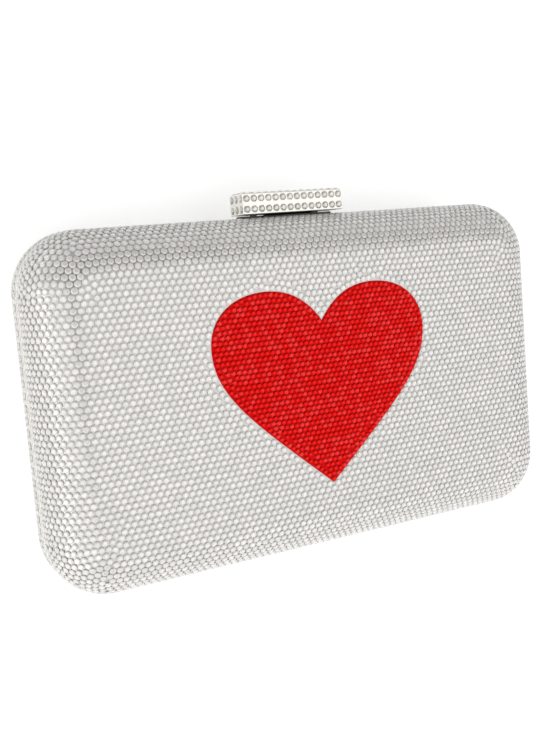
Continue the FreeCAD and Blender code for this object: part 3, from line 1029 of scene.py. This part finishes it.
def cover_clasp(seed):
    """Stones in the pockets on five sides of the clasp bar."""
    low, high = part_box("clasp_bar")
    along = shared_out(CLASP_ALONG, low.x, high.x)
    up = shared_out(CLASP_UP, low.y, high.y)
    across = shared_out(CLASP_ACROSS, low.z, high.z)
    sunk = CLASP_SUNK
    seats = []
    for x in along:
        seats += [((x, y, high.z - sunk), (0, 0, 1), CLASP_STONE_R) for y in up]
        seats += [((x, y, low.z + sunk), (0, 0, -1), CLASP_STONE_R) for y in up]
        seats += [((x, high.y - sunk, z), (0, 1, 0), CLASP_STONE_R) for z in across]
    for y in up:
        for z in across:
            seats.append(((high.x - sunk, y, z), (1, 0, 0), CLASP_STONE_R))
            seats.append(((low.x + sunk, y, z), (-1, 0, 0), CLASP_STONE_R))
    stones = set_stones("clasp_stones", seats, CLASP_STONE_HEIGHT, CLASP_STONE, seed)
    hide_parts("clasp_crystals")
    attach(stones, "clasp")


cover_half("back", SEED)
cover_half("front", SEED + 10)
cover_clasp(SEED + 20)
bpy.data.objects.remove(STONE)


# Metal and shells carried over from the solids


def finish_solids():
    finishes = {
        SILVER_METAL: (
            "back_frame", "front_frame", "back_hinge_leaf", "front_hinge_leaf",
            "chain_eye_left", "chain_eye_right", "clasp_bar",
        ),
        # The clasp base and catch spring are darkened as painted shadow in the gap under the bar.
        PAINTED_SHADOW_STEEL: ("clasp_base", "catch_spring"),
        SPRING_STEEL: ("hinge_pin", "clasp_pin"),
        SHELL_PLASTIC: ("back_shell", "front_shell"),
    }
    for material, names in finishes.items():
        for name in names:
            for slot in NODES[name].material_slots:
                slot.material = material


def return_spring_wire():
    """Return spring: a welded copy of the solid's wire in spring steel, shown in place of the part."""
    mesh = NODES["clasp_return_spring"].data.copy()
    mesh.name = "return_spring_wire"
    mend(mesh, turn_out=False)
    mesh.materials.clear()
    mesh.materials.append(SPRING_STEEL)
    mesh.polygons.foreach_set("material_index", [0] * len(mesh.polygons))
    wire = plain_object("return_spring_wire", mesh)
    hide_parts("clasp_return_spring")
    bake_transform(wire)


finish_solids()
return_spring_wire()


# Lining


def smoothed(piece):
    finer = piece.modifiers.new("smooth", "SUBSURF")
    finer.levels = finer.render_levels = 1
    return piece


class PadShape:
    """A lining pad before it is blown up: a rolled edge and a soft crown over its seat."""

    def __init__(self, half):
        low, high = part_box(half + "_lining_panel")
        self.half_x, self.half_y = high.x, high.y
        self.seat = low.z if half == "back" else DEPTH - high.z
        self.thick = high.z - low.z
        self.held_level = self.seat + PAD_HELD_SHARE * self.thick

    def loop(self, inset, side_steps):
        """Places round the pad, at a distance from its edge."""
        half_x, half_y = self.half_x - inset, self.half_y - inset
        return loop_places(half_x, half_y, PAD_CORNER_R - inset, LINING_CORNER_STEPS, side_steps)

    def inside(self, x, y):
        """Distance from the pad's edge."""
        over_x = abs(x) - self.half_x + PAD_CORNER_R
        over_y = abs(y) - self.half_y + PAD_CORNER_R
        outside = math.hypot(max(over_x, 0), max(over_y, 0))
        return PAD_CORNER_R - outside - min(max(over_x, over_y), 0)

    def height(self, x, y):
        inside = self.inside(x, y)
        roll = min(inside / PAD_ROLL, 1)
        rounded = math.sqrt(max(1 - (1 - roll) ** 2, 0))
        rise = self.thick * (PAD_EDGE_SHARE + (1 - PAD_EDGE_SHARE) * rounded)
        crown = PAD_CROWN * (1 - math.exp(-max(inside, 0) / PAD_CROWN_REACH))
        return self.seat + rise + crown

    def groove(self, x, y):
        """Depth of the sewn groove."""
        return PAD_GROOVE * math.exp(-(((self.inside(x, y) - STITCH_INSET) / PAD_GROOVE_WIDTH) ** 2))


def taken(holder, name):
    """Plain mesh of an object as its modifiers make it; the object goes."""
    graph = bpy.context.evaluated_depsgraph_get()
    mesh = bpy.data.meshes.new_from_object(holder.evaluated_get(graph), depsgraph=graph)
    mesh.name = name
    bpy.data.objects.remove(holder)
    return mesh


def even_mesh(points, faces):
    """Pad at the cloth's scale, cut into even squares."""
    mesh = bpy.data.meshes.new("pad_start")
    mesh.from_pydata([Vector(point) * CLOTH_SCALE for point in points], [], faces)
    mend(mesh, weld=False)
    holder = plain_object("pad_start", mesh)
    even = holder.modifiers.new("even", "REMESH")
    even.mode = "VOXEL"
    even.voxel_size = CLOTH_VOXEL
    return taken(holder, "pad_even")


def blown_up(mesh, held):
    """Slack cloth under a little pressure, held where it is sewn or glued down."""
    holder = plain_object("pad_cloth", mesh)
    sewn = holder.vertex_groups.new(name="sewn")
    for index, share in enumerate(held):
        sewn.add([index], share, "REPLACE")
    cloth = holder.modifiers.new("cloth", "CLOTH")
    cloth.point_cache.frame_start, cloth.point_cache.frame_end = 1, CLOTH_FRAMES
    cloth.collision_settings.use_collision = False
    settings = cloth.settings
    settings.quality = 6
    settings.mass = 0.3
    settings.tension_stiffness = settings.compression_stiffness = 12.0
    settings.shear_stiffness = 4.0
    settings.bending_stiffness = 0.08
    settings.use_pressure = True
    settings.uniform_pressure_force = CLOTH_PRESSURE
    settings.shrink_min = -CLOTH_SLACK
    settings.vertex_group_mass = "sewn"
    settings.effector_weights.gravity = 0.0
    scene = bpy.context.scene
    for step in range(1, CLOTH_FRAMES + 1):
        scene.frame_set(step)
    made = taken(holder, "pad_blown_up")
    scene.frame_set(1)
    return made


def lining_pad(half):
    """Padded satin panel on the inside of the face, sewn near its edge."""
    shape = PadShape(half)
    loops = [shape.loop(inset * MM, PAD_SIDE_STEPS) for inset in PAD_INSETS_MM]
    inner = loops[-1]
    for share in PAD_MIDDLE_SHARES:
        loops.append([(x * share, y * share) for x, y in inner])
    rings = [[(x, y, shape.seat) for x, y in loops[0]]]
    rings += [[(x, y, shape.height(x, y)) for x, y in loop] for loop in loops]
    mesh = even_mesh(*stitched_rings(rings))
    start = [vertex.co / CLOTH_SCALE for vertex in mesh.vertices]
    held = []
    for point in start:
        sewn = shape.inside(point.x, point.y) < SEWN_REACH
        held.append(1.0 if sewn or point.z < shape.held_level else 0.0)
    made = blown_up(mesh, held)
    points = []
    for before, vertex in zip(start, made.vertices):
        move = vertex.co / CLOTH_SCALE - before
        length = max(move.length, TINY)
        move *= PAD_CAP * (1 - math.exp(-length / PAD_CAP)) / length
        point = before + move
        if before.z > shape.held_level:
            point.z -= shape.groove(before.x, before.y)
        points.append(turned(half, point))
    faces = [tuple(face.vertices) for face in made.polygons]
    return smoothed(mesh_piece(half + "_lining_pad", points, faces, LINING_SATIN))


def lining_side(half):
    """Satin band from the pad's edge round the sides to the mouth, a little gathered."""
    shape = PadShape(half)
    inner, outer = shape.seat + shape.thick, shape.seat
    start = shape.loop(-PAD_GAP, LINING_SIDE_STEPS)
    rings = [[turned(half, (x, y, level)) for x, y in start] for level in (outer, inner)]
    for inset, order in ((inner, 1), (outer, -1)):
        side = []
        for step, run in enumerate(skin_runs(inset, SIDE_RING_COUNT)):
            up = step / SIDE_RING_COUNT
            fade = math.sin(math.pi * min(up / GATHER_FADE_SHARE, 1)) if inset == inner else 0.0
            depth = up * GATHER_RISE + GATHER_SHIFTS[half]
            ring = []
            half_x, half_y = CORNER_X + run, CORNER_Y + run
            for x, y in loop_places(half_x, half_y, run, LINING_CORNER_STEPS, LINING_SIDE_STEPS):
                point, normal = surface(half, inset, x, y)
                fold = noise.noise(Vector((point.x * GATHER_SCALE, point.y * GATHER_SCALE, depth)))
                ring.append(point - normal * (SIDE_GATHER * fade * (0.5 + fold)))
            side.append(ring)
        rings += side[::order]
    points, faces = stitched_rings(rings, close_ends=False)
    count = len(start)
    last = count * (len(rings) - 1)
    for step in range(count):
        after = (step + 1) % count
        faces.append((last + step, last + after, after, step))
    return smoothed(mesh_piece(half + "_lining_side", points, faces, LINING_SATIN))


def lining_stitches(half, pad):
    """Run of stitches on the pad, in its sewn groove."""
    skin = BVHTree.FromPolygons(
        [vertex.co for vertex in pad.data.vertices], [tuple(face.vertices) for face in pad.data.polygons]
    )
    down = turned_normal(half, (0, 0, -1))
    points = []
    for x, y in PadShape(half).loop(STITCH_INSET, LINING_SIDE_STEPS):
        above = turned(half, (x, y, MID_Z))
        points.append(skin.ray_cast(above, down)[0] - down * (STITCH_T * STITCH_LIFT_SHARE))
    edges = [(step, (step + 1) % len(points)) for step in range(len(points))]
    base = bpy.data.meshes.new(half + "_stitch_path")
    base.from_pydata(points, edges, [])
    return grown(
        half + "_lining_stitches", base, STITCH_TREE,
        Pitch=STITCH_PITCH, Length=STITCH_LENGTH, Thickness=STITCH_T, Material=LINING_THREAD,
    )


def line_half(half):
    pad, side = lining_pad(half), lining_side(half)
    stitches = lining_stitches(half, pad)
    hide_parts(half + "_lining_panel")
    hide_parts(half + "_lining_band")
    for piece in (pad, side, stitches):
        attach(piece, half + "_half")


line_half("back")
line_half("front")


# Studio


def seen_or_mirrored(tree):
    """1 where a surface is seen directly, mirrored or seen through glass, and otherwise 0."""
    path = add_node(tree, "ShaderNodeLightPath").outputs
    mirrored = worked(tree, "MAXIMUM", path["Is Glossy Ray"], path["Is Transmission Ray"])
    return worked(tree, "MAXIMUM", path["Is Camera Ray"], mirrored)


def studio_floor():
    """Pale floor, lifted more the further it is from the clutch."""
    sides = ((-1, -1), (1, -1), (1, 1), (-1, 1))
    corners = [(x * FLOOR_REACH, y * FLOOR_REACH, FLOOR_LEVEL) for x, y in sides]
    mesh = bpy.data.meshes.new("studio_floor")
    mesh.from_pydata(corners, [], [(0, 1, 2, 3)])
    material, tree, shader = new_material("pale_floor")
    away = add_node(tree, "ShaderNodeVectorMath", {0: object_place(tree)}, operation="LENGTH")
    lift = mapped(tree, away.outputs["Value"], start=(FLOOR_NEAR, FLOOR_FAR), end=(FLOOR_LIFT, 1.0))
    feed(tree, shader, {
        "Base Color": (FLOOR_TONE, FLOOR_TONE, FLOOR_TONE, 1),
        "Roughness": 0.7,
        "Emission Color": (1, 1, 1, 1),
        "Emission Strength": worked(tree, "MULTIPLY", seen_or_mirrored(tree), lift),
    })
    mesh.materials.append(material)
    plain_object("studio_floor", mesh)


def studio_world():
    """Even light, with a white backdrop low down where it is seen or mirrored, and a dark card."""
    world = bpy.data.worlds.new("studio_world")
    bpy.context.scene.world = world
    world.use_nodes = True
    tree = world.node_tree
    way = add_node(tree, "ShaderNodeTexCoord").outputs["Generated"]
    height = add_node(tree, "ShaderNodeSeparateXYZ", {0: way}).outputs["Z"]
    backdrop = mapped(tree, height, start=(BACKDROP_LOW, BACKDROP_HIGH), end=(1.0, WORLD_LIGHT))
    level = add_node(
        tree, "ShaderNodeMix",
        {"Factor": seen_or_mirrored(tree), "A": WORLD_LIGHT, "B": backdrop},
        data_type="FLOAT",
    )
    toward = add_node(tree, "ShaderNodeVectorMath", {0: way, 1: DARK_CARD}, operation="DOT_PRODUCT")
    card_edge = (math.cos(DARK_CARD_RIM), math.cos(DARK_CARD_CORE))
    card = mapped(tree, toward.outputs["Value"], start=card_edge, end=(1.0, DARK_CARD_TONE))
    feed(tree, tree.nodes["Background"], {
        "Color": (1, 1, 1, 1),
        "Strength": worked(tree, "MULTIPLY", level.outputs["Result"], card),
    })


def softboxes():
    for name, (place, width, power) in SOFTBOXES.items():
        lamp = bpy.data.lights.new(name, "AREA")
        lamp.shape = "SQUARE"
        lamp.size = width
        lamp.energy = power
        holder = plain_object(name, lamp)
        holder.visible_camera = False
        aim = Vector((0, 0, MID_Z)) - Vector(place)
        holder.matrix_world = Matrix.Translation(place) @ aim.to_track_quat("-Z", "Y").to_matrix().to_4x4()


def photo_camera():
    """Camera at the photograph's viewing angle, looking down on the face."""
    forward = Vector((
        math.sin(CAMERA_YAW) * math.cos(CAMERA_PITCH),
        -math.sin(CAMERA_PITCH),
        -math.cos(CAMERA_YAW) * math.cos(CAMERA_PITCH),
    ))
    right = Vector((math.cos(CAMERA_YAW), 0, math.sin(CAMERA_YAW)))
    up = right.cross(forward)
    place = Vector((0, 0, MID_Z)) - forward * CAMERA_DISTANCE
    place += right * CAMERA_OFFSET[0] + up * CAMERA_OFFSET[1]
    rolled_right = right * math.cos(CAMERA_ROLL) + up * math.sin(CAMERA_ROLL)
    rolled_up = up * math.cos(CAMERA_ROLL) - right * math.sin(CAMERA_ROLL)
    lens = bpy.data.cameras.new("photo_camera")
    lens.sensor_width = SENSOR
    lens.lens = FOCAL_PX * SENSOR / PHOTO_HEIGHT
    lens.clip_start = MM
    camera = plain_object("photo_camera", lens)
    axes = Matrix((rolled_right, rolled_up, -forward)).transposed()
    camera.matrix_world = Matrix.Translation(place) @ axes.to_4x4()
    bpy.context.scene.camera = camera


studio_floor()
studio_world()
softboxes()
photo_camera()
bpy.context.scene.view_settings.view_transform = "Standard"
